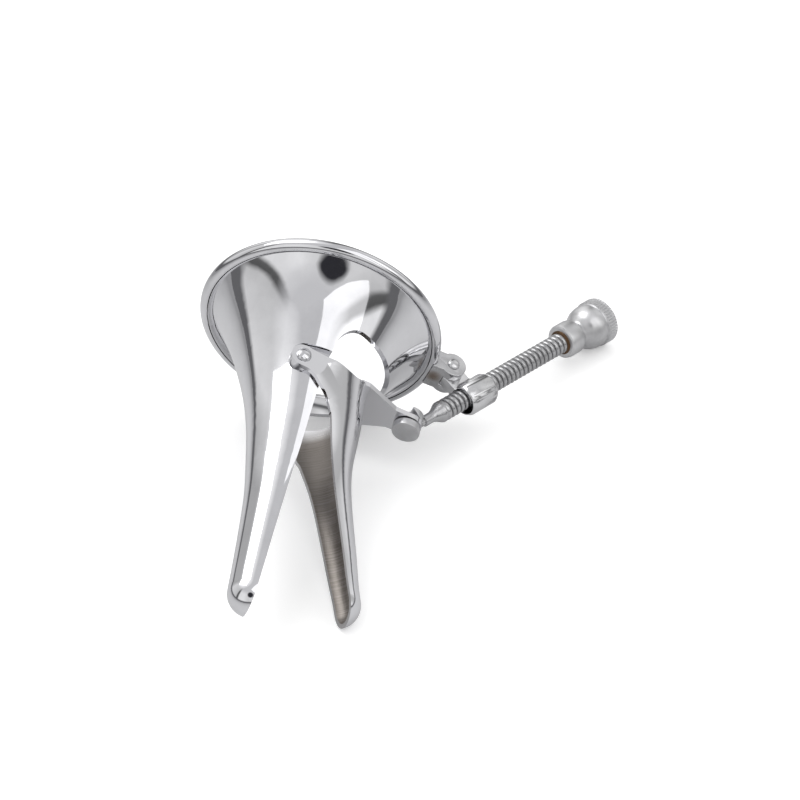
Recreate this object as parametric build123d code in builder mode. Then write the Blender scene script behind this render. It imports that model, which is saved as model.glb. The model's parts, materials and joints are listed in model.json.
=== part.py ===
from build123d import *
import os
from math import asin, atan2, cos, hypot, radians, sin, tan

os.makedirs("parts", exist_ok=True)

# A two-bladed speculum. A flared sheet-metal trumpet ends in a fixed half-tube blade. A second
# half-tube blade hangs on two rivets in its flanks. A thumb screw runs through a swivelling nut
# on the rim and pulls on a tab of the moving blade, which opens it.
# The trumpet stands on Z, from the middle of its rim towards the tips. X points to the moving
# blade and Y lies along the hinge. At the end all pieces are laid down as the thing rests.

# Trumpet and blades
sheet = 1.1                    # wall of the pressed sheet
rim_radius = 29.3              # middle of the rolled bead
bead_radius = 1.7
bead_sheet = 0.85              # wall of the rolled bead, thinned by the rolling
bead_seam = 0.25               # open seam where the roll comes back to the flare
bead_seam_angle = 105
flare_radius = 29.5            # outer skin at the rim plane
throat_height = 25.0
throat_radius = 14.9
tip_radius = 5.6
tip_centre = 84.4              # height where the round nose of a blade begins
fixed_edge = 0.9               # how far the fixed blade reaches past the middle
blade_gap = 0.4                # between the edges of the shut blades
notch_height = 13.0            # where the trumpet's wall stops above the moving blade
notch_edge = 1.6
notch_corner = 6.3

# Hinge
hinge_x = -5.0
hinge_z = 24.3
flank_flat = 14.5              # outer face of the pressed flats beside the hinge
flat_half_width = 3.8
ear_gap = 0.25
ear_sheet = 1.2
ear_radius = 3.1
ear_flat_radius = 6.1
ear_drop = 2.4                 # how far the ear's flat falls back to the blade
ear_slope = 0.4
ear_low_edge = [(-4.2, 28.2), (-2.0, 31.0), (0.0, 33.8), (1.0, 37.5)]
ear_high_edge = [(12.0, 26.5), (9.3, 27.0), (6.0, 26.1), (1.7, 24.5)]
shoulder_gap = 0.4             # between the trumpet's skin and the blade's wide top
shoulder_low = 36.0
shoulder_end = 46.0
rivet_radius = 1.1
rivet_head = 1.9
rivet_crown = 1.1
rivet_inner_head = 1.7
rivet_inner_crown = 0.7
running = 0.06                 # clearance of a shaft that turns in its hole
seated = 0.03                  # clearance of a shaft that is fixed in its hole

# Tab of the moving blade, given as it stands when opened
open_angle = 20.3
tab_sheet = 1.3
tab_tilt = 2.3
tab_eye_x = 27.6
tab_eye_radius = 3.6
tab_root_x = 14.3
tab_root_half = 8.2
tab_waist_x = 23.0
tab_waist_half = 3.75
hole_low = -2.6                # ends of the long hole, from the middle of the eye
hole_high = 1.75

# Swivel at the end of the tab, and the line of the screw
pivot_x = 29.5
pivot_z = 19.65
lug_x = 35.0
lug_z = -0.9
screw_from_lug = 7.95          # distance from the lug's pin to the screw's axis
nut_play = 0.6                 # how far the nut's bore stands off the screw's axis
swivel_radius = 3.55
swivel_below = 2.95            # from the pivot to the swivel's face on the tips' side
swivel_above = 3.05
swivel_step = 2.3              # how far the swivel's upper part reaches back from the pivot
swivel_waist = 1.3
swivel_turn = 34.5             # how far the tab swings in the swivel's slot
swivel_rest_turn = 1.5
swivel_gap = 0.12
swivel_facet = 3.1             # flat facet under the screw's shoulder

# Thumb screw, with stations along its axis from the swivel's pivot
journal_radius = 1.0
journal_start = 1.9
shoulder_play = 0.1
neck_radius = 1.4
neck_end = 6.4
cone_end = 9.3
thread_radius = 2.8
collar_start = 56.0
collar_radius = 4.65
collar_length = 5.4
groove_length = 1.3
groove_radius = 3.3
bell_length = 6.3
bell_shoulder = 5.5             # where the bell turns from rising to running straight
bell_shoulder_height = 2.3
knob_radius = 6.4
knurl_length = 3.2
knob_crown = 0.9
tang_radius = 1.9
tang_length = 6.0

# Nut and its lug on the rim
nut_middle = 22.0
nut_length = 9.4
nut_radius = 4.2
nut_flats = 4.0                # half the width across the nut's flats
nut_edge = 0.5
nut_clearance = 0.65
lug_radius = 3.45
lug_half_stack = 4.0
lug_foot = 29.9
lug_foot_width = 5.5
tongue_half = 1.5
tongue_radius = 3.05
tongue_gap = 0.1
slot_depth = 0.2
pin_radius = 1.2
pin_head = 1.55
pin_crown = 0.8

# Outer skin of the trumpet and fixed blade, as heights above the rim and radii
skin_start = (-1, 0.75)
trumpet_skin = [
    (0, flare_radius), (5, 24.8), (10, 21.6), (17, 18.2), (throat_height, throat_radius),
    (37, 11.3), (48, 9.1), (60, 7.3), (75, 6.2), (tip_centre, tip_radius),
]


def shoulder(height):
    """How far the moving blade stands out of the trumpet's skin, fading out below the ears."""
    fade = (height - shoulder_low) / (shoulder_end - shoulder_low)
    fade = min(max(fade, 0), 1)
    return (shoulder_gap + sheet) * (1 - fade * fade * (3 - 2 * fade))


blade_skin = [(height, radius + shoulder(height)) for height, radius in trumpet_skin
              if height > 5]
moving_edge = fixed_edge + blade_gap
ear_inside = flank_flat + ear_gap
ear_outside = ear_inside + ear_sheet
wide = 2 * flare_radius
tall = 2 * tip_centre


def bell(sections, inset):
    """Half section of a bell and its blade, moved inwards from the outer skin by inset."""
    skin = Spline(*[(radius, height) for height, radius in sections],
                  tangents=[skin_start, (0, 1)])
    steps = 2 * len(sections)
    moved = []
    for step in range(steps + 1):
        slope = skin % (step / steps)
        moved.append(skin @ (step / steps) + Vector(-slope.Y, slope.X) * inset)
    nose = tip_radius - inset
    diagonal = nose * sin(radians(45))
    with BuildSketch(Plane.XZ) as section:
        with BuildLine():
            side = Spline(*moved)
            ThreePointArc(side @ 1, (diagonal, tip_centre + diagonal), (0, tip_centre + nose))
            Polyline((0, tip_centre + nose), (0, (side @ 0).Y), side @ 0)
        make_face()
    return section.sketch


def swing(angle):
    """The placing that turns a piece about the hinge, opening it when positive."""
    hinge = Location((hinge_x, 0, hinge_z))
    return hinge * Rotation(0, angle, 0) * hinge.inverse()


def flats(level, half_width, boss):
    """Presses both flanks of a bell flat beside the hinge, at a distance from its middle."""
    for side in (1, -1):
        flank = Plane.XZ.offset(-side * level)
        with BuildSketch(flank) as flat:
            with Locations((hinge_x + flat_half_width, hinge_z)):
                SlotCenterToCenter(2 * flat_half_width, 2 * half_width)
        extrude(flat.sketch, amount=-side * flare_radius, mode=Mode.SUBTRACT)
        with BuildSketch(flank) as seat:
            with Locations((hinge_x, hinge_z)):
                Circle(boss)
        extrude(seat.sketch, amount=side * level)


def ear_cones(level):
    """Raises the blade's flanks to flat ears round the hinge, falling back all round."""
    for side in (1, -1):
        with BuildSketch(Plane.XZ.offset(-side * level)) as top:
            with Locations((hinge_x, hinge_z)):
                Circle(ear_flat_radius)
        with BuildSketch(Plane.XZ.offset(-side * (level - ear_drop))) as foot:
            with Locations((hinge_x, hinge_z)):
                Circle(ear_flat_radius + ear_drop / ear_slope)
        loft(sections=[top.sketch, foot.sketch])


def cross_hole(x, z, radius):
    """Drills through both flanks along Y."""
    with BuildSketch(Plane.XZ) as hole:
        with Locations((x, z)):
            Circle(radius)
    extrude(hole.sketch, amount=wide, both=True, mode=Mode.SUBTRACT)


def crowned_outline(stations, top, head, crown):
    """Half section of a turned piece that ends in a domed head, as radii and heights."""
    with BuildLine() as outline:
        shank = Polyline(*stations, (head, top))
        slant = sin(radians(45))
        Spline(shank @ 1, (slant * head, top + slant * crown), (0, top + crown),
               tangents=[(0, 1), (-1, 0)])
        Line((0, top + crown), shank @ 0)
    make_face(outline.edges())


# The line of the screw, from the swivel's pivot to the knob
reach = hypot(lug_x - pivot_x, lug_z - pivot_z)
screw_angle = atan2(lug_x - pivot_x, pivot_z - lug_z) + asin(screw_from_lug / reach)
screw_line = Vector(sin(screw_angle), 0, -cos(screw_angle))
off_lug = Vector(cos(screw_angle), 0, sin(screw_angle))
pivot = Vector(pivot_x, 0, pivot_z)
screw_plane = Plane(origin=pivot, x_dir=(0, 1, 0), z_dir=screw_line)
screw_section = Plane(origin=pivot, x_dir=(0, 1, 0), z_dir=-off_lug)
screw_axis = Axis(pivot, screw_line)
nut_centre = pivot + off_lug * nut_play + screw_line * nut_middle
nut_plane = Plane(origin=nut_centre, x_dir=(0, 1, 0), z_dir=screw_line)

# The tab's plane as it stands when opened, with its origin in the middle of the sheet, and
# the same plane when the blade is shut
tilt = radians(tab_tilt)
tab_plane = Plane(origin=pivot, x_dir=(cos(tilt), 0, sin(tilt)), z_dir=(-sin(tilt), 0, cos(tilt)))
tab_section = Plane(origin=pivot, x_dir=tab_plane.x_dir, z_dir=(0, -1, 0))
shut_tab_plane = Plane(swing(-open_angle) * tab_plane.location)

# Trumpet: the bell with its flats, its window for the moving blade, and its rolled rim
with BuildPart() as trumpet_hollow:
    add(bell(trumpet_skin, sheet))
    revolve(axis=Axis.Z)
    flats(flank_flat - sheet, flat_half_width + sheet, rivet_inner_head + sheet / 2)

with BuildPart() as trumpet:
    add(bell(trumpet_skin, 0))
    revolve(axis=Axis.Z)
    flats(flank_flat, flat_half_width, ear_radius - ear_gap)
    add(trumpet_hollow.part, mode=Mode.SUBTRACT)
    with BuildSketch(Plane.XZ):
        with BuildLine():
            edge = Polyline((notch_edge, notch_height + notch_corner), (fixed_edge, throat_height),
                            (fixed_edge, shoulder_end), (0, tip_centre), (0, tall), (wide, tall),
                            (wide, notch_height), (notch_edge + notch_corner, notch_height))
            RadiusArc(edge @ 1, edge @ 0, notch_corner)
        make_face()
    extrude(amount=wide, both=True, mode=Mode.SUBTRACT)
    with BuildSketch(Plane.XZ):
        with Locations((rim_radius, 0)):
            Circle(bead_radius)
    revolve(axis=Axis.Z, mode=Mode.SUBTRACT)
    with BuildSketch(Plane.XZ):
        with Locations((rim_radius, 0)):
            Circle(bead_radius)
            Circle(bead_radius - bead_sheet, mode=Mode.SUBTRACT)
        seam = radians(bead_seam_angle)
        with Locations(Location((rim_radius + bead_radius * cos(seam), bead_radius * sin(seam)),
                                bead_seam_angle)):
            Rectangle(3 * bead_sheet, bead_seam, mode=Mode.SUBTRACT)
    revolve(axis=Axis.Z)
    cross_hole(hinge_x, hinge_z, rivet_radius + seated)

# Moving blade, shut: a half tube with ears at the hinge and a tab bent out of its back
with BuildPart() as blade_hollow:
    add(bell(blade_skin, sheet))
    revolve(axis=Axis.Z)
    Box(wide, 2 * ear_inside, 4 * tip_centre, mode=Mode.INTERSECT)
    ear_cones(ear_inside)

with BuildPart() as moving_blade:
    add(bell(blade_skin, 0))
    revolve(axis=Axis.Z)
    Box(wide, 2 * ear_outside, 4 * tip_centre, mode=Mode.INTERSECT)
    ear_cones(ear_outside)
    with BuildSketch(Plane.XZ):
        with BuildLine():
            ear = CenterArc((hinge_x, hinge_z), ear_radius, 120, 180)
            low = Spline(ear @ 0, *ear_low_edge, (moving_edge, shoulder_end),
                         tangents=[(1, 0.58), (0, 1)])
            far = Polyline(low @ 1, (moving_edge, tall), (flare_radius, tall),
                           (flare_radius, throat_height), (tab_root_x + sheet, throat_height))
            Spline(far @ 1, *ear_high_edge, ear @ 1)
        make_face()
    extrude(amount=wide, both=True, mode=Mode.INTERSECT)
    with BuildSketch(shut_tab_plane.offset(-tab_sheet / 2)):
        with BuildLine():
            root = (tab_root_x - pivot_x - 3, tab_root_half)
            outer = Polyline(root, (tab_root_x - pivot_x, tab_root_half),
                             (tab_waist_x - pivot_x, tab_waist_half),
                             (tab_eye_x - pivot_x, tab_eye_radius))
            ThreePointArc(outer @ 1, (tab_eye_x - pivot_x + tab_eye_radius, 0),
                          (tab_eye_x - pivot_x, -tab_eye_radius))
            mirror(outer, about=Plane.XZ)
            Line(root, (root[0], -root[1]))
        make_face()
        with Locations((tab_eye_x - pivot_x + (hole_low + hole_high) / 2, 0)):
            SlotOverall(hole_high - hole_low, 2 * (swivel_waist + swivel_gap),
                        mode=Mode.SUBTRACT)
    extrude(amount=tab_sheet)
    add(blade_hollow.part, mode=Mode.SUBTRACT)
    cross_hole(hinge_x, hinge_z, rivet_radius + running)


def hinge_rivet(side):
    """A domed rivet, its inner head against the trumpet's wall and its dome over the ear."""
    inner = flank_flat - sheet
    outer = ear_outside + running
    with BuildPart() as rivet:
        with BuildSketch(Plane(origin=(hinge_x, 0, hinge_z), x_dir=(1, 0, 0),
                               z_dir=(0, 0, side))):
            crowned_outline([(0, inner - rivet_inner_crown),
                             (rivet_radius, inner - rivet_inner_crown),
                             (rivet_inner_head, inner), (rivet_radius, inner),
                             (rivet_radius, outer)], outer, rivet_head, rivet_crown)
        revolve(axis=Axis((hinge_x, 0, hinge_z), (0, 1, 0)))
    return rivet


near_hinge_rivet = hinge_rivet(1)
far_hinge_rivet = hinge_rivet(-1)

# Lug on the rim: two round cheeks on a foot that sits on the bead
with BuildPart() as rim_lug:
    with BuildSketch(Plane.XZ):
        with Locations((lug_x, lug_z)):
            Circle(lug_radius)
        with Locations(((lug_foot + lug_x) / 2, lug_z)):
            Rectangle(lug_x - lug_foot, lug_foot_width)
    extrude(amount=lug_half_stack, both=True)
    with BuildSketch(Plane.XZ):
        with Locations((lug_x, lug_z)):
            Circle(tongue_radius + slot_depth)
        with Locations((lug_x - tongue_radius / 2, lug_z)):
            Rectangle(wide, 3 * lug_radius, align=(Align.MIN, Align.CENTER))
    extrude(amount=tongue_half + tongue_gap, both=True, mode=Mode.SUBTRACT)
    with BuildSketch(Plane.XZ):
        with Locations((rim_radius, 0)):
            Circle(bead_radius + seated)
    revolve(axis=Axis.Z, mode=Mode.SUBTRACT)
    cross_hole(lug_x, lug_z, pin_radius + seated)

with BuildPart() as lug_pin:
    with BuildSketch(Plane(origin=(lug_x, 0, lug_z), x_dir=(1, 0, 0), z_dir=(0, 0, 1))):
        crowned_outline([(0, 0), (pin_radius, 0), (pin_radius, lug_half_stack)],
                        lug_half_stack, pin_head, pin_crown)
    revolve(axis=Axis((lug_x, 0, lug_z), (0, 1, 0)))
    mirror(about=Plane.XZ)

# Swivelling nut: a barrel on the screw with a flat tongue between the lug's cheeks
with BuildPart() as swivel_nut:
    with BuildSketch(Plane(origin=nut_centre, x_dir=(0, 1, 0), z_dir=off_lug)):
        with BuildLine():
            half = nut_length / 2
            Polyline((0, half), (nut_radius - nut_edge, half), (nut_radius, half - 2 * nut_edge),
                     (nut_radius, 2 * nut_edge - half), (nut_radius - nut_edge, -half),
                     (0, -half), close=True)
        make_face()
    revolve(axis=Axis(nut_centre, screw_line))
    Box(wide + 4 * lug_x, 2 * nut_flats, 4 * lug_x, mode=Mode.INTERSECT)
    with BuildSketch(Plane.XZ):
        with Locations((lug_x, lug_z)):
            Circle(tongue_radius)
        with BuildLine():
            foot = Vector(lug_x, lug_z)
            out = Vector(off_lug.X, off_lug.Z)
            along = Vector(screw_line.X, screw_line.Z) * tongue_radius
            bore = foot + out * (screw_from_lug + nut_play)
            Polyline(foot + along, bore + along, bore - along, foot - along, close=True)
        make_face()
    extrude(amount=tongue_half, both=True)
    with BuildSketch(nut_plane):
        Circle(thread_radius + nut_clearance)
    extrude(amount=nut_length, both=True, mode=Mode.SUBTRACT)
    cross_hole(lug_x, lug_z, pin_radius + running)

# Swivel at the tab's end: a disc under the tab, a waist through its long hole, and a half
# head above it that takes the screw's journal
with BuildPart() as swivel_block:
    with BuildSketch(tab_plane.offset(-swivel_above)):
        with Locations((tab_eye_x - pivot_x, 0)):
            Circle(swivel_radius)
    extrude(amount=swivel_above + swivel_below)
    slot_half = tab_sheet / 2 + swivel_gap
    steep = tan(radians(swivel_turn))
    shallow = tan(radians(swivel_rest_turn))
    side = 2 * swivel_radius
    with BuildSketch(tab_section):
        Polygon((0, slot_half / cos(radians(swivel_turn))),
                (side, side * steep + slot_half / cos(radians(swivel_turn))),
                (side, -side * shallow - slot_half),
                (0, -slot_half / cos(radians(swivel_turn))),
                (-side, -side * steep - slot_half / cos(radians(swivel_turn))),
                (-side, side * shallow + slot_half), align=None)
        with Locations((-swivel_step, -slot_half)):
            Rectangle(side, side, align=(Align.MAX, Align.MAX))
    extrude(amount=side, both=True, mode=Mode.SUBTRACT)
    with BuildSketch(tab_plane.offset(-swivel_above)):
        with Locations((tab_eye_x - pivot_x, 0)):
            Circle(swivel_waist)
    extrude(amount=swivel_above + swivel_below)
    with BuildSketch(screw_plane.offset(swivel_facet)):
        Circle(side)
    extrude(amount=side, mode=Mode.SUBTRACT)
    with BuildSketch(screw_plane.offset(journal_start - shoulder_play)):
        Circle(journal_radius + running)
    extrude(amount=side, mode=Mode.SUBTRACT)

# Thumb screw: journal, neck, cone and threaded rod, with a tang inside the knob
shoulder_start = swivel_facet + shoulder_play
with BuildPart() as thumb_screw:
    with BuildSketch(screw_section):
        with BuildLine():
            Polyline((0, journal_start), (journal_radius, journal_start),
                     (journal_radius, shoulder_start), (neck_radius, shoulder_start),
                     (neck_radius, neck_end), (thread_radius, cone_end),
                     (thread_radius, collar_start), (tang_radius, collar_start),
                     (tang_radius, collar_start + tang_length),
                     (0, collar_start + tang_length), close=True)
        make_face()
    revolve(axis=screw_axis)

# Knob: a collar, a groove, a bell and a knurled rim with a low crown
with BuildPart() as knob:
    groove_start = collar_start + collar_length
    bell_start = groove_start + groove_length
    knurl_start = bell_start + bell_length
    knurl_end = knurl_start + knurl_length
    tang_end = collar_start + tang_length + seated
    with BuildSketch(screw_section):
        with BuildLine():
            inside = Polyline((0, tang_end), (tang_radius + seated, tang_end),
                              (tang_radius + seated, collar_start),
                              (thread_radius + 1, collar_start),
                              (collar_radius, collar_start + 0.6),
                              (collar_radius, groove_start - 0.5),
                              (collar_radius - 0.5, groove_start),
                              (groove_radius, groove_start + 0.3), (groove_radius, bell_start))
            flare = Spline(inside @ 1, (bell_shoulder, bell_start + bell_shoulder_height),
                           (knob_radius, knurl_start), tangents=[(1, 0.35), (0.12, 1)])
            rim = Line(flare @ 1, (knob_radius, knurl_end))
            Spline(rim @ 1, (knob_radius - 0.5, knurl_end + 0.35), (0, knurl_end + knob_crown),
                   tangents=[(0, 1), (-1, 0)])
            Line((0, knurl_end + knob_crown), (0, tang_end))
        make_face()
    revolve(axis=screw_axis)


def lowest(centre, axis, radius, tube, down):
    """The point of a round rim, or of a ball when radius is 0, that lies furthest down."""
    outward = (down - axis * down.dot(axis)).normalized()
    return centre + outward * radius + down * tube


# The plane it rests on touches the bead, the knob's rim and the nose of the opened blade
nose_centre = (swing(open_angle) * Location((0, 0, tip_centre))).position
up = Vector(-0.48, 0.85, -0.2).normalized()
for turn in range(20):
    bead_foot = lowest(Vector(0, 0, 0), Vector(0, 0, 1), rim_radius, bead_radius, -up)
    knob_feet = [lowest(pivot + screw_line * station, screw_line, knob_radius, 0, -up)
                 for station in (knurl_start, knurl_end)]
    knob_foot = min(knob_feet, key=lambda foot: foot.dot(up))
    nose_foot = lowest(nose_centre, Vector(0, 0, 1), 0, tip_radius, -up)
    up = (nose_foot - bead_foot).cross(knob_foot - bead_foot).normalized()
    if up.Y < 0:
        up = -up
towards_rim = (up * up.Z - Vector(0, 0, 1)).normalized()
floor = Plane(origin=bead_foot, x_dir=towards_rim.cross(up), z_dir=up)
lying = floor.location.inverse()

pieces = {
    "trumpet": trumpet.part,
    "moving_blade": moving_blade.part.moved(swing(open_angle)),
    "near_hinge_rivet": near_hinge_rivet.part,
    "far_hinge_rivet": far_hinge_rivet.part,
    "rim_lug": rim_lug.part,
    "lug_pin": lug_pin.part,
    "swivel_nut": swivel_nut.part,
    "swivel_block": swivel_block.part,
    "thumb_screw": thumb_screw.part,
    "knob": knob.part,
}
whole = Compound(children=[piece.moved(lying) for piece in pieces.values()]).bounding_box()
centred = Location((-whole.center().X, -whole.center().Y, -whole.min.Z)) * lying

for name, piece in pieces.items():
    placed = piece.moved(centred)
    placed.label = name
    export_step(placed, f"parts/{name}.step")

# Where the joints lie once the thing is laid down
for name, point in (("hinge", Vector(hinge_x, 0, hinge_z)), ("lug", Vector(lug_x, 0, lug_z)),
                    ("pivot", pivot), ("rim", Vector(0, 0, 0))):
    print(name, (centred * Location(point)).position)
for name, direction in (("hinge_axis", Vector(0, 1, 0)), ("screw_axis", screw_line),
                        ("trumpet_axis", Vector(0, 0, 1))):
    ends = [(centred * Location(direction * distance)).position for distance in (0, 1)]
    print(name, ends[1] - ends[0])
print("size", whole.size)
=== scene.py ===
import json
from math import atan2, copysign, cos, pi, radians, sqrt, tau

import bpy
from mathutils import Matrix, Vector


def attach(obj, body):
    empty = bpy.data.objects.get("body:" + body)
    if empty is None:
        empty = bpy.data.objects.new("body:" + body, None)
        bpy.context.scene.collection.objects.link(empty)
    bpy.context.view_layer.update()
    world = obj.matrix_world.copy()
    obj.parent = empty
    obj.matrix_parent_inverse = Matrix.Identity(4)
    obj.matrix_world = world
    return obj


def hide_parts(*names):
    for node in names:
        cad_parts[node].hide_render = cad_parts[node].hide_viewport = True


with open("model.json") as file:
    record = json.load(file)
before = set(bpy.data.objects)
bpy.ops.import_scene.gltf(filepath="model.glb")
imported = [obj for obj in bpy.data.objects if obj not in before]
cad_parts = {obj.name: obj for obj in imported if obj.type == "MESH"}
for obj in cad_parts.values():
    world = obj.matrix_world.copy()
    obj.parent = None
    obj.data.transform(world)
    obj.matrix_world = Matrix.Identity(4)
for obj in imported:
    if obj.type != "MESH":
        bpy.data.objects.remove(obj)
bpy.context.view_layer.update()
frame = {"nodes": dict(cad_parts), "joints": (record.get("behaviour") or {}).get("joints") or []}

# A two-bladed speculum lying opened on a white table. The moving blade and the rivets keep the
# frame's shapes, and the trumpet's fixed blade gets an even taper. The thumb screw, its knob and
# the small fittings get their thread, knurl, rounded edges and braze here.

MM = 0.001

# Places and directions of the frame
RIM_CENTRE = Vector((-19.8773, 20.4179, 30.4039)) * MM
TRUMPET_AXIS = Vector((0, -0.979578, -0.201066))
LUG_JOIN_RADIUS = 31.3 * MM
OPEN_ANGLE = radians(20.3)
joints = {joint["name"]: joint for joint in frame["joints"]}
HINGE = Vector(joints["blade_hinge"]["pos_m"])
HINGE_AXIS = Vector(joints["blade_hinge"]["axis"]).normalized()
LUG = Vector(joints["nut_swivel"]["pos_m"])
PIVOT = Vector(joints["screw_turn"]["pos_m"])
SCREW_AXIS = Vector(joints["screw_turn"]["axis"]).normalized()
OPENED = Matrix.Rotation(OPEN_ANGLE, 3, HINGE_AXIS)
BLADE_AXIS = OPENED @ TRUMPET_AXIS
BLADE_CENTRE = HINGE + OPENED @ (RIM_CENTRE - HINGE)
LUG_JOIN = RIM_CENTRE + HINGE_AXIS.cross(TRUMPET_AXIS) * LUG_JOIN_RADIUS
SCREW_SIDE = HINGE_AXIS
SCREW_ACROSS = SCREW_AXIS.cross(SCREW_SIDE)

# How meshes are cleaned, smoothed and rounded
MERGE_DISTANCE = 0.002 * MM
SMOOTH_ANGLE = radians(30)
FLAT_ANGLE = radians(1)
EDGE_ANGLE = radians(35)
EDGE_WIDTH = 0.18 * MM
EDGE_SEGMENTS = 3

# Thumb screw, with stations along its axis in millimetres from the swivel's pivot
THREAD_START = 9.3
THREAD_END = 55.9
THREAD_RADIUS = 2.8
THREAD_DEPTH = 0.75
THREAD_PITCH = 1.6
THREAD_ROWS = 12
THREAD_MARGIN = 0.01
ROUND_STEPS = 48
KNURL_START = 69.1
KNURL_END = 72.0
KNURL_RADIUS = 6.3
KNURL_RIDGES = 48
KNURL_DEPTH = 0.45
KNURL_SHARPNESS = 4
KNURL_RUN_IN = 0.4
KNURL_MARGIN = 0.3
KNURL_ROWS = 8
STEPS_A_RIDGE = 6

# Outlines of the screw's turned shapes, as radii and stations in millimetres
SHANK = ((0, 1.9), (0.85, 1.9), (1.0, 2.05), (1.0, 3.15), (1.3, 3.2), (1.4, 3.3), (1.4, 5.9),
         (1.5, 6.5), (1.8, 7.3), (2.3, 8.3), (2.65, 8.9))
COLLAR = ((0, 56.05), (2.9, 56.05), (4.1, 56.12), (4.5, 56.4), (4.62, 56.9), (4.62, 60.2),
          (4.5, 60.75), (4.2, 61.15), (3.7, 61.4), (3.4, 61.6), (3.3, 61.9), (3.3, 62.4),
          (3.45, 62.65))
BELL = ((3.75, 62.95), (4.6, 63.55), (5.25, 64.4), (5.7, 65.4), (5.95, 66.5), (6.02, 67.6),
        (5.95, 68.3), (5.85, 68.7), (5.95, 68.95), (6.2, 69.02))
CROWN = ((6.15, 72.15), (5.9, 72.32), (5.3, 72.5), (4.2, 72.72), (2.6, 72.95), (1.2, 73.05),
         (0, 73.08))
BRAZE = ((2.3, 55.55), (2.95, 55.6), (3.2, 55.75), (3.3, 55.92), (3.25, 56.1), (2.3, 56.15),
         (2.3, 55.55))

# Fixed blade before its round nose, in millimetres: the stations from the rim between which its
# two walls are set to an even taper, the outer radius and slope it starts with, how it eases off,
# and the thickness of the sheet
TAPER_START = 60
TAPER_END = 84.4
TAPER_RADIUS = 7.3
TAPER_SLOPE = -0.09
TAPER_CURVE = 0.000833
TAPER_LENGTH = TAPER_END - TAPER_START
SHEET = 1.1
WALL_FACING = 0.7

# Camera, at the distance from which the photograph is taken to have been made
CAMERA_PLACE = Vector((0.11769, -0.49007, 0.40951))
CAMERA_RIGHT = Vector((0.98122, 0.18537, -0.05341))
CAMERA_UP = Vector((-0.07128, 0.60568, 0.79251))
CAMERA_LENS = 115.8

# Metals
CHROME = (0.83, 0.83, 0.85, 1)
SMUDGED_CHROME = (0.74, 0.74, 0.76, 1)
MOVING_CHROME = (0.82, 0.82, 0.84, 1)
CHROME_ROUGHNESS = (0.035, 0.07)
POLISH_WAVE = 0.15 * MM
BRUSHED_DARK = (0.2, 0.178, 0.16, 1)
BRUSHED_LIGHT = (0.33, 0.305, 0.285, 1)
BRUSHED_START = (26 * MM, 31 * MM)
TUBE_RADIUS = (15.5 * MM, 14.5 * MM)
# Painted shade, near black, laid into the bottom of the thread's grooves
GROOVE_SHADE = (0.06, 0.06, 0.065, 1)
BRAZE_STAIN = (0.20, 0.125, 0.07, 1)
BRAZE_BROWN = (0.13, 0.075, 0.04, 1)
BRAZE_DARK = (0.05, 0.034, 0.024, 1)

# Tent: its ground, roof, the brighter roof on the key's side and the slit for the camera
GROUND_GREY = (0.14, 0.14, 0.145, 1)
ROOF_GREY = (0.62, 0.62, 0.63, 1)
KEY_ROOF = (1.1, 1.1, 1.1, 1)
KEY_SIDE = Vector((-0.45, 0.25, 0.85)).normalized()
SLIT_GREY = (0.03, 0.03, 0.035, 1)
SLIT_EDGE = (cos(radians(15)), cos(radians(10)))

# Table: its size, its white, what chrome mirrors of it near and far, and its glow to the camera
TABLE_SIZE = 0.9
TABLE_WHITE = (0.93, 0.93, 0.93, 1)
MIRRORED_NEAR = (0.56, 0.56, 0.565, 1)
MIRRORED_FAR = (0.26, 0.26, 0.265, 1)
TABLE_GLOW = 0.22

# Lamps: name, place, size and power
LAMPS = (("key", (-0.5, 0.2, 1.0), 0.7, 2.5), ("fill", (0.7, -0.3, 0.8), 0.9, 1.5))

# Grey of the tent's panels all round, from the knob's far side and back again, as shares of a turn
TENT_PANELS = ((0.0, 0.7), (1.0, 0.7), (0.06, 0.9), (0.13, 0.85), (0.145, 0.12), (0.16, 0.1),
               (0.175, 0.6), (0.28, 0.8), (0.32, 0.45), (0.36, 0.5), (0.38, 0.9), (0.45, 1.0),
               (0.485, 0.5), (0.5, 0.12), (0.515, 0.14), (0.53, 0.6), (0.62, 0.9), (0.66, 0.5),
               (0.7, 0.55), (0.73, 0.85), (0.80, 0.95), (0.815, 0.1), (0.835, 0.12), (0.85, 0.6),
               (0.94, 0.8))


def deselect():
    """Leaves edit mode and clears the selection."""
    if bpy.context.object and bpy.context.object.mode == "EDIT":
        bpy.ops.object.mode_set(mode="OBJECT")
    bpy.ops.object.select_all(action="DESELECT")


def activate(piece):
    """Makes one piece the only selected one."""
    deselect()
    piece.select_set(True)
    bpy.context.view_layer.objects.active = piece


def close_up():
    """Merges doubles, turns the faces outwards and smooths the active piece."""
    bpy.ops.object.mode_set(mode="EDIT")
    bpy.ops.mesh.select_all(action="SELECT")
    bpy.ops.mesh.remove_doubles(threshold=MERGE_DISTANCE)
    bpy.ops.mesh.normals_make_consistent(inside=False)
    bpy.ops.object.mode_set(mode="OBJECT")
    bpy.ops.object.shade_smooth_by_angle(angle=SMOOTH_ANGLE)


def turned(name, outline, steps):
    """A piece turned about the screw's axis from an outline of radii and stations."""
    deselect()
    points = [PIVOT + SCREW_AXIS * station * MM + SCREW_SIDE * radius * MM
              for radius, station in outline]
    bpy.ops.mesh.primitive_plane_add(size=MM, location=(0, 0, 0))
    piece = bpy.context.object
    piece.name = name
    bpy.ops.object.mode_set(mode="EDIT")
    bpy.ops.mesh.merge(type="CENTER")
    bpy.ops.transform.translate(value=points[0])
    for before, point in zip(points, points[1:]):
        bpy.ops.mesh.extrude_region_move(TRANSFORM_OT_translate={"value": point - before})
    bpy.ops.mesh.select_all(action="SELECT")
    bpy.ops.mesh.spin(steps=steps, angle=tau, center=PIVOT, axis=SCREW_AXIS)
    bpy.ops.object.mode_set(mode="OBJECT")
    close_up()
    return piece


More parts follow.
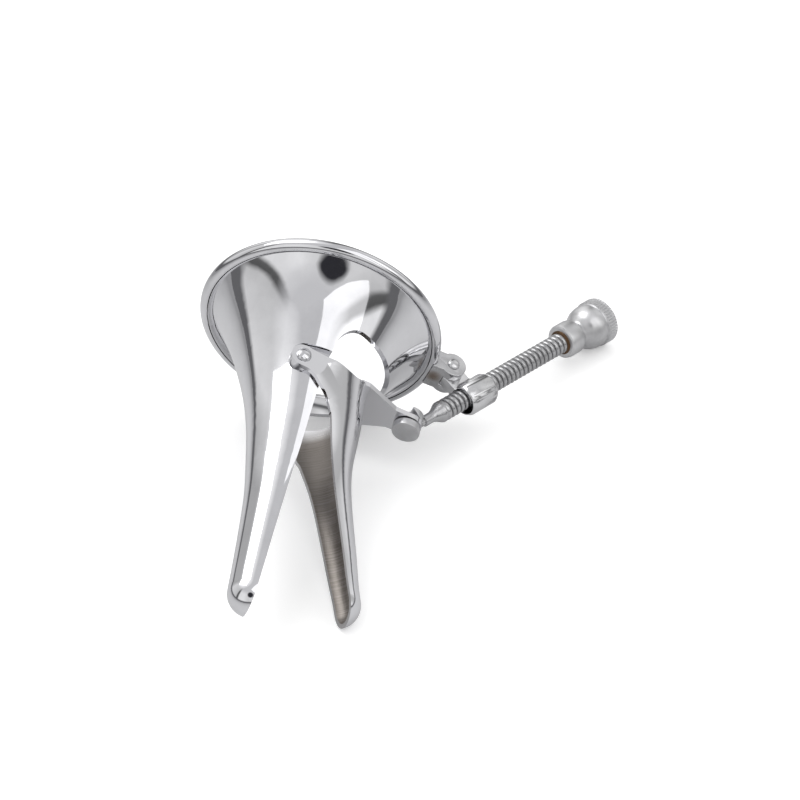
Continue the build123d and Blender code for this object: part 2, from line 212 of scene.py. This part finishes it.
def lathe_place(point):
    """A point's station and radius in millimetres, its turn and its spoke, about the screw."""
    arm = point - PIVOT
    station = arm.dot(SCREW_AXIS)
    spoke = arm - SCREW_AXIS * station
    turn = atan2(spoke.dot(SCREW_ACROSS), spoke.dot(SCREW_SIDE)) / tau
    return station / MM, spoke.length / MM, turn, spoke.normalized()


def cut_thread(piece):
    """Cuts a right-hand thread between the cone and the collar, running out at both ends."""
    for vertex in piece.data.vertices:
        station, radius, turn, spoke = lathe_place(vertex.co)
        run_in = min(station - THREAD_START, THREAD_END - station, THREAD_PITCH) / THREAD_PITCH
        if run_in <= 0 or radius < THREAD_RADIUS - THREAD_MARGIN:
            continue
        phase = (station / THREAD_PITCH - turn) % 1
        groove = 1 - sqrt(1 - (2 * phase - 1) ** 2)
        vertex.co -= spoke * THREAD_DEPTH * groove * run_in * MM


def cut_knurl(piece):
    """Presses straight ridges into the knob's rim."""
    for vertex in piece.data.vertices:
        station, radius, turn, spoke = lathe_place(vertex.co)
        run_in = min(station - KNURL_START, KNURL_END - station, KNURL_RUN_IN) / KNURL_RUN_IN
        if run_in <= 0 or radius < KNURL_RADIUS - KNURL_MARGIN:
            continue
        wave = abs(cos(turn * KNURL_RIDGES * pi)) ** KNURL_SHARPNESS
        vertex.co -= spoke * KNURL_DEPTH * wave * run_in * MM


def thumb_screw():
    """Journal, neck, cone and threaded rod of the thumb screw."""
    rows = round((THREAD_END - THREAD_START) / THREAD_PITCH * THREAD_ROWS)
    rod = [(THREAD_RADIUS, THREAD_START + (THREAD_END - THREAD_START) * row / rows)
           for row in range(rows + 1)]
    piece = turned("threaded_screw", [*SHANK, *rod, (0, THREAD_END)], ROUND_STEPS)
    cut_thread(piece)
    return piece


def screw_knob():
    """Collar, groove, bell and knurled rim of the knob."""
    band = [(KNURL_RADIUS, KNURL_START + (KNURL_END - KNURL_START) * row / KNURL_ROWS)
            for row in range(KNURL_ROWS + 1)]
    piece = turned("knurled_knob", [*COLLAR, *BELL, *band, *CROWN], STEPS_A_RIDGE * KNURL_RIDGES)
    cut_knurl(piece)
    return piece


def braze_ring():
    """The brown ring of braze between the thread and the knob's collar."""
    return turned("braze_ring", BRAZE, ROUND_STEPS)


def copied(name, node):
    """A copy of a CAD node, made the active piece."""
    source = frame["nodes"][node]
    piece = source.copy()
    piece.data = source.data.copy()
    piece.parent = None
    piece.name = name
    for key in list(piece.keys()):
        del piece[key]
    bpy.context.scene.collection.objects.link(piece)
    activate(piece)
    return piece


def softened(name, node):
    """A copy of a small CAD fitting with its edges rounded over."""
    piece = copied(name, node)
    bpy.ops.object.mode_set(mode="EDIT")
    bpy.ops.mesh.select_all(action="SELECT")
    bpy.ops.mesh.remove_doubles(threshold=MERGE_DISTANCE)
    bpy.ops.mesh.dissolve_limited(angle_limit=FLAT_ANGLE)
    bpy.ops.object.mode_set(mode="OBJECT")
    bevel = piece.modifiers.new("rounding", "BEVEL")
    bevel.width = EDGE_WIDTH
    bevel.segments = EDGE_SEGMENTS
    bevel.limit_method = "ANGLE"
    bevel.angle_limit = EDGE_ANGLE
    bevel.use_clamp_overlap = False
    bpy.ops.object.modifier_apply(modifier=bevel.name)
    bpy.ops.object.shade_smooth_by_angle(angle=EDGE_ANGLE)
    return piece


def true_trumpet():
    """A copy of the trumpet whose fixed blade narrows evenly up to its round nose."""
    piece = copied("chromed_trumpet", "trumpet")
    mesh = piece.data
    normals = [normal.vector.copy() for normal in mesh.corner_normals]
    places = []
    for vertex in mesh.vertices:
        arm = vertex.co - RIM_CENTRE
        along = arm.dot(TRUMPET_AXIS)
        spoke = arm - TRUMPET_AXIS * along
        run = along / MM - TAPER_START
        places.append((run, spoke.normalized()))
        if 0 < run < TAPER_LENGTH:
            radius = TAPER_RADIUS + TAPER_SLOPE * run + TAPER_CURVE * run ** 2
            if spoke.length < (radius - SHEET / 2) * MM:
                radius -= SHEET
            vertex.co += spoke.normalized() * (radius * MM - spoke.length)
    for loop in mesh.loops:
        run, spoke = places[loop.vertex_index]
        facing = normals[loop.index].dot(spoke)
        if 0 < run < TAPER_LENGTH and abs(facing) > WALL_FACING:
            slope = TAPER_SLOPE + 2 * TAPER_CURVE * run
            normals[loop.index] = (spoke - TRUMPET_AXIS * slope).normalized() * copysign(1, facing)
    mesh.normals_split_custom_set(normals)
    return piece


class Shader:
    """A material's node tree, with short calls that add and join its nodes."""

    def __init__(self, tree):
        self.nodes = tree.nodes
        self.links = tree.links

    def add(self, kind, inputs=(), **settings):
        node = self.nodes.new(kind)
        for key, value in settings.items():
            setattr(node, key, value)
        for socket, value in dict(inputs).items():
            if isinstance(value, bpy.types.NodeSocket):
                self.links.new(value, node.inputs[socket])
            else:
                node.inputs[socket].default_value = value
        return node

    def math(self, operation, first, second=0.0):
        return self.add("ShaderNodeMath", {0: first, 1: second}, operation=operation).outputs[0]

    def dot(self, vector, direction):
        return self.add("ShaderNodeVectorMath", {0: vector, 1: direction},
                        operation="DOT_PRODUCT").outputs["Value"]

    def ramp(self, value, low, high, to_low=0.0, to_high=1.0):
        return self.add("ShaderNodeMapRange", {"Value": value, "From Min": low, "From Max": high,
                                               "To Min": to_low, "To Max": to_high}).outputs[0]

    def mix(self, share, first, second):
        node = self.add("ShaderNodeMix", {0: share}, data_type="RGBA")
        for index, value in ((6, first), (7, second)):
            if isinstance(value, bpy.types.NodeSocket):
                self.links.new(value, node.inputs[index])
            else:
                node.inputs[index].default_value = value
        return node.outputs[2]


def wear_group():
    """A node group of handling marks: smudges, fine scratches and the slow wave of hand polish."""
    group = bpy.data.node_groups.new("handling_marks", "ShaderNodeTree")
    for name, default in (("Smudge scale", 90.0), ("Scratch scale", 900.0)):
        socket = group.interface.new_socket(name, in_out="INPUT", socket_type="NodeSocketFloat")
        socket.default_value = default
    for name in ("Smudge", "Scratch", "Wave"):
        group.interface.new_socket(name, in_out="OUTPUT", socket_type="NodeSocketFloat")
    shader = Shader(group)
    inputs = shader.add("NodeGroupInput")
    place = shader.add("ShaderNodeTexCoord").outputs["Object"]
    smudge = shader.add("ShaderNodeTexNoise", {"Vector": place, "Scale": inputs.outputs[0],
                                               "Detail": 6.0, "Roughness": 0.6}).outputs[0]
    stretched = shader.add("ShaderNodeMapping", {"Vector": place, "Rotation": (0.6, 0.4, 0.3),
                                                 "Scale": (1, 0.06, 1)}).outputs[0]
    scratch = shader.add("ShaderNodeTexNoise", {"Vector": stretched, "Scale": inputs.outputs[1],
                                                "Detail": 3.0, "Roughness": 0.7}).outputs[0]
    wave = shader.add("ShaderNodeTexNoise", {"Vector": place, "Scale": 45.0,
                                             "Detail": 1.0}).outputs[0]
    outputs = shader.add("NodeGroupOutput")
    shader.links.new(shader.ramp(smudge, 0.42, 0.72), outputs.inputs[0])
    shader.links.new(shader.ramp(scratch, 0.55, 0.75), outputs.inputs[1])
    shader.links.new(wave, outputs.inputs[2])
    return group


WEAR = wear_group()


def metal(name):
    """A new metal with its shader helper, its surface node and its handling marks."""
    material = bpy.data.materials.new(name)
    material.use_nodes = True
    shader = Shader(material.node_tree)
    surface = shader.nodes["Principled BSDF"]
    surface.inputs["Metallic"].default_value = 1.0
    marks = shader.add("ShaderNodeGroup", node_tree=WEAR)
    return material, shader, surface, marks


def bump(shader, surface, height, distance, strength=1.0):
    """Feeds a height to the surface's normal."""
    node = shader.add("ShaderNodeBump", {"Height": height, "Distance": distance,
                                         "Strength": strength})
    shader.links.new(node.outputs[0], surface.inputs["Normal"])


def polished_chrome():
    """Mirror chrome over a hand-polished sheet."""
    material, shader, surface, marks = metal("polished_chrome")
    colour = shader.mix(marks.outputs["Smudge"], CHROME, SMUDGED_CHROME)
    shader.links.new(colour, surface.inputs["Base Color"])
    rough = shader.math("ADD", shader.ramp(marks.outputs["Smudge"], 0, 1, *CHROME_ROUGHNESS),
                        shader.math("MULTIPLY", marks.outputs["Scratch"], 0.04))
    shader.links.new(rough, surface.inputs["Roughness"])
    bump(shader, surface, marks.outputs["Wave"], POLISH_WAVE)
    return material


def blade_chrome():
    """Chrome outside, and inside the half tube the brushed metal that polish doesn't reach."""
    material, shader, surface, marks = metal("blade_chrome")
    coordinates = shader.add("ShaderNodeTexCoord")
    arm = shader.add("ShaderNodeVectorMath", {0: coordinates.outputs["Object"], 1: BLADE_CENTRE},
                     operation="SUBTRACT").outputs[0]
    station = shader.dot(arm, BLADE_AXIS)
    along = shader.add("ShaderNodeVectorMath", {0: BLADE_AXIS, "Scale": station},
                       operation="SCALE").outputs[0]
    spoke = shader.add("ShaderNodeVectorMath", {0: arm, 1: along}, operation="SUBTRACT").outputs[0]
    outwards = shader.dot(spoke, coordinates.outputs["Normal"])
    inside = shader.math("MULTIPLY", shader.ramp(outwards, -0.5 * MM, -2.0 * MM),
                         shader.ramp(station, *BRUSHED_START))
    radius = shader.add("ShaderNodeVectorMath", {0: spoke}, operation="LENGTH").outputs["Value"]
    inside = shader.math("MULTIPLY", inside, shader.ramp(radius, *TUBE_RADIUS))
    lines = shader.add("ShaderNodeCombineXYZ", {
        "X": shader.math("MULTIPLY", station, 45.0),
        "Y": shader.math("MULTIPLY", shader.dot(arm, HINGE_AXIS), 1.2)}).outputs[0]
    brushed = shader.add("ShaderNodeTexNoise", {"Vector": lines, "Scale": 90.0, "Detail": 5.0,
                                                "Roughness": 0.75}).outputs[0]
    satin = shader.mix(shader.ramp(brushed, 0.35, 0.65), BRUSHED_DARK, BRUSHED_LIGHT)
    colour = shader.mix(inside, MOVING_CHROME, satin)
    shader.links.new(colour, surface.inputs["Base Color"])
    dull = shader.math("MULTIPLY", inside, shader.ramp(brushed, 0.3, 0.7, 0.26, 0.42))
    rough = shader.math("ADD", dull, shader.ramp(marks.outputs["Smudge"], 0, 1, *CHROME_ROUGHNESS))
    shader.links.new(rough, surface.inputs["Roughness"])
    height = shader.math("ADD", marks.outputs["Wave"],
                         shader.math("MULTIPLY", shader.math("MULTIPLY", brushed, inside), 0.08))
    bump(shader, surface, height, POLISH_WAVE)
    return material


def satin_nickel(name, tone, dullness, braze_place=None, braze_reach=0.0, groove_shaded=False):
    """Satin nickel of the small fittings, browned by braze round one place if it is given, with
    painted shade in the thread's grooves if asked.
    """
    material, shader, surface, marks = metal(name)
    light = (tone, tone, tone + 0.01, 1)
    dark = (tone * 0.72, tone * 0.72, tone * 0.73, 1)
    colour = shader.mix(marks.outputs["Smudge"], light, dark)
    rough = shader.math("ADD", shader.ramp(marks.outputs["Smudge"], 0, 1, dullness, dullness + 0.1),
                        shader.math("MULTIPLY", marks.outputs["Scratch"], 0.08))
    place = shader.add("ShaderNodeTexCoord").outputs["Object"]
    # Painted shade: the thread's grooves are darkened towards their bottoms, the deeper the darker
    if groove_shaded:
        arm = shader.add("ShaderNodeVectorMath", {0: place, 1: PIVOT},
                         operation="SUBTRACT").outputs[0]
        cross = shader.add("ShaderNodeVectorMath", {0: arm, 1: SCREW_AXIS},
                           operation="CROSS_PRODUCT").outputs[0]
        radius = shader.add("ShaderNodeVectorMath", {0: cross}, operation="LENGTH").outputs["Value"]
        threaded = shader.ramp(shader.dot(arm, SCREW_AXIS), THREAD_START * MM,
                               (THREAD_START + 1) * MM)
        groove_shade = shader.math("MULTIPLY", threaded,
                            shader.ramp(radius, (THREAD_RADIUS - 0.12) * MM,
                                        (THREAD_RADIUS - 0.6 * THREAD_DEPTH) * MM, 0, 0.95))
        colour = shader.mix(groove_shade, colour, GROOVE_SHADE)
    if braze_place is not None:
        reach = shader.add("ShaderNodeVectorMath", {0: place, 1: braze_place},
                           operation="DISTANCE").outputs["Value"]
        ragged = shader.math("ADD", reach, shader.math("MULTIPLY", marks.outputs["Smudge"], MM))
        stain = shader.ramp(ragged, braze_reach * MM, (braze_reach - 1.2) * MM, 0, 0.75)
        colour = shader.mix(stain, colour, BRAZE_STAIN)
    shader.links.new(colour, surface.inputs["Base Color"])
    shader.links.new(rough, surface.inputs["Roughness"])
    bump(shader, surface, marks.outputs["Scratch"], 0.01 * MM)
    return material


def braze():
    """Brown braze with a dull, pitted skin."""
    material, shader, surface, marks = metal("braze")
    surface.inputs["Metallic"].default_value = 0.8
    colour = shader.mix(marks.outputs["Smudge"], BRAZE_BROWN, BRAZE_DARK)
    shader.links.new(colour, surface.inputs["Base Color"])
    rough = shader.ramp(marks.outputs["Smudge"], 0, 1, 0.35, 0.55)
    shader.links.new(rough, surface.inputs["Roughness"])
    bump(shader, surface, marks.outputs["Scratch"], 0.04 * MM)
    return material


def dress(piece, material):
    """Gives a piece one material on all of its faces."""
    piece.data.materials.clear()
    piece.data.materials.append(material)


def studio_world():
    """A white tent with grey panels for the chrome to mirror, and a dark slit at the camera."""
    world = bpy.data.worlds.new("studio")
    world.use_nodes = True
    bpy.context.scene.world = world
    shader = Shader(world.node_tree)
    direction = shader.add("ShaderNodeTexCoord").outputs["Generated"]
    split = shader.add("ShaderNodeSeparateXYZ", {0: direction})
    around = shader.math("ARCTAN2", split.outputs[0], split.outputs[1])
    panels = shader.add("ShaderNodeValToRGB", {"Fac": shader.ramp(around, -pi, pi)})
    elements = panels.color_ramp.elements
    for index, (place, grey) in enumerate(TENT_PANELS):
        stop = elements[index] if index < 2 else elements.new(place)
        stop.position = place
        stop.color = (grey, grey, grey, 1)
    height = split.outputs[2]
    lit = shader.mix(shader.ramp(height, 0.03, 0.12), GROUND_GREY, panels.outputs[0])
    key_side = shader.ramp(shader.dot(direction, KEY_SIDE), 0.8, 0.95)
    roof = shader.mix(key_side, ROOF_GREY, KEY_ROOF)
    walls = shader.mix(shader.ramp(height, 0.6, 0.82), lit, roof)
    facing = shader.dot(direction, CAMERA_RIGHT.cross(CAMERA_UP))
    slit = shader.ramp(facing, *SLIT_EDGE)
    tent = shader.mix(slit, walls, SLIT_GREY)
    path = shader.add("ShaderNodeLightPath")
    seen = shader.mix(path.outputs["Is Glossy Ray"], (1, 1, 1, 1), tent)
    background = shader.nodes["Background"]
    shader.links.new(seen, background.inputs["Color"])
    background.inputs["Strength"].default_value = 1.0


def table_top():
    """The white table, wide enough to fill the view."""
    deselect()
    bpy.ops.mesh.primitive_plane_add(size=TABLE_SIZE, location=(0, 0, 0))
    top = bpy.context.object
    top.name = "table_top"
    material = bpy.data.materials.new("white_table")
    material.use_nodes = True
    surface = material.node_tree.nodes["Principled BSDF"]
    shader = Shader(material.node_tree)
    path = shader.add("ShaderNodeLightPath")
    place = shader.add("ShaderNodeTexCoord").outputs["Object"]
    reach = shader.add("ShaderNodeVectorMath", {0: place}, operation="LENGTH").outputs["Value"]
    mirrored = shader.mix(shader.ramp(reach, 0.08, 0.3), MIRRORED_NEAR, MIRRORED_FAR)
    tone = shader.mix(path.outputs["Is Glossy Ray"], TABLE_WHITE, mirrored)
    shader.links.new(tone, surface.inputs["Base Color"])
    surface.inputs["Roughness"].default_value = 0.9
    surface.inputs["Specular IOR Level"].default_value = 0.1
    surface.inputs["Emission Color"].default_value = (1, 1, 1, 1)
    shader.links.new(shader.math("MULTIPLY", path.outputs["Is Camera Ray"], TABLE_GLOW),
                     surface.inputs["Emission Strength"])
    dress(top, material)


def lamp(name, place, size, power):
    """A square soft lamp aimed at the middle of the thing."""
    light = bpy.data.lights.new(name, "AREA")
    light.size = size
    light.energy = power
    holder = bpy.data.objects.new(name, light)
    bpy.context.scene.collection.objects.link(holder)
    holder.location = place
    holder.rotation_euler = (-Vector(place)).to_track_quat("-Z", "Y").to_euler()


def camera():
    """The camera at the photograph's place, its view fitted to the rim and the screw."""
    data = bpy.data.cameras.new("camera")
    data.lens = CAMERA_LENS
    holder = bpy.data.objects.new("camera", data)
    bpy.context.scene.collection.objects.link(holder)
    back = CAMERA_RIGHT.cross(CAMERA_UP)
    turn = Matrix((CAMERA_RIGHT, CAMERA_UP, back)).transposed()
    holder.matrix_world = Matrix.Translation(CAMERA_PLACE) @ turn.to_4x4()
    bpy.context.scene.camera = holder


chrome = polished_chrome()
for node in ("near_hinge_rivet", "far_hinge_rivet"):
    dress(frame["nodes"][node], chrome)
trumpet = true_trumpet()
dress(trumpet, chrome)
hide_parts("trumpet")
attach(trumpet, "trumpet")
dress(frame["nodes"]["moving_blade"], blade_chrome())

fittings = (
    ("lug_cheeks", "rim_lug", "trumpet", satin_nickel("lug_nickel", 0.66, 0.22, LUG_JOIN, 3.2)),
    ("lug_rivet", "lug_pin", "trumpet", satin_nickel("pin_nickel", 0.7, 0.2)),
    ("nut_barrel", "swivel_nut", "nut", satin_nickel("nut_nickel", 0.8, 0.16, LUG, 3.4)),
    ("tab_swivel", "swivel_block", "swivel", satin_nickel("swivel_nickel", 0.68, 0.28)),
)
for name, node, body, material in fittings:
    piece = softened(name, node)
    dress(piece, material)
    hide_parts(node)
    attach(piece, body)

for piece, node, material in (
        # The screw's nickel gets painted shade in its thread's grooves
        (thumb_screw(), "thumb_screw", satin_nickel("screw_nickel", 0.56, 0.22, groove_shaded=True)),
        (screw_knob(), "knob", satin_nickel("knob_nickel", 0.74, 0.32)),
        (braze_ring(), None, braze())):
    dress(piece, material)
    if node:
        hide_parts(node)
    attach(piece, "screw")

studio_world()
table_top()
for name, place, size, power in LAMPS:
    lamp(name, place, size, power)
camera()
bpy.context.scene.view_settings.view_transform = "Standard"
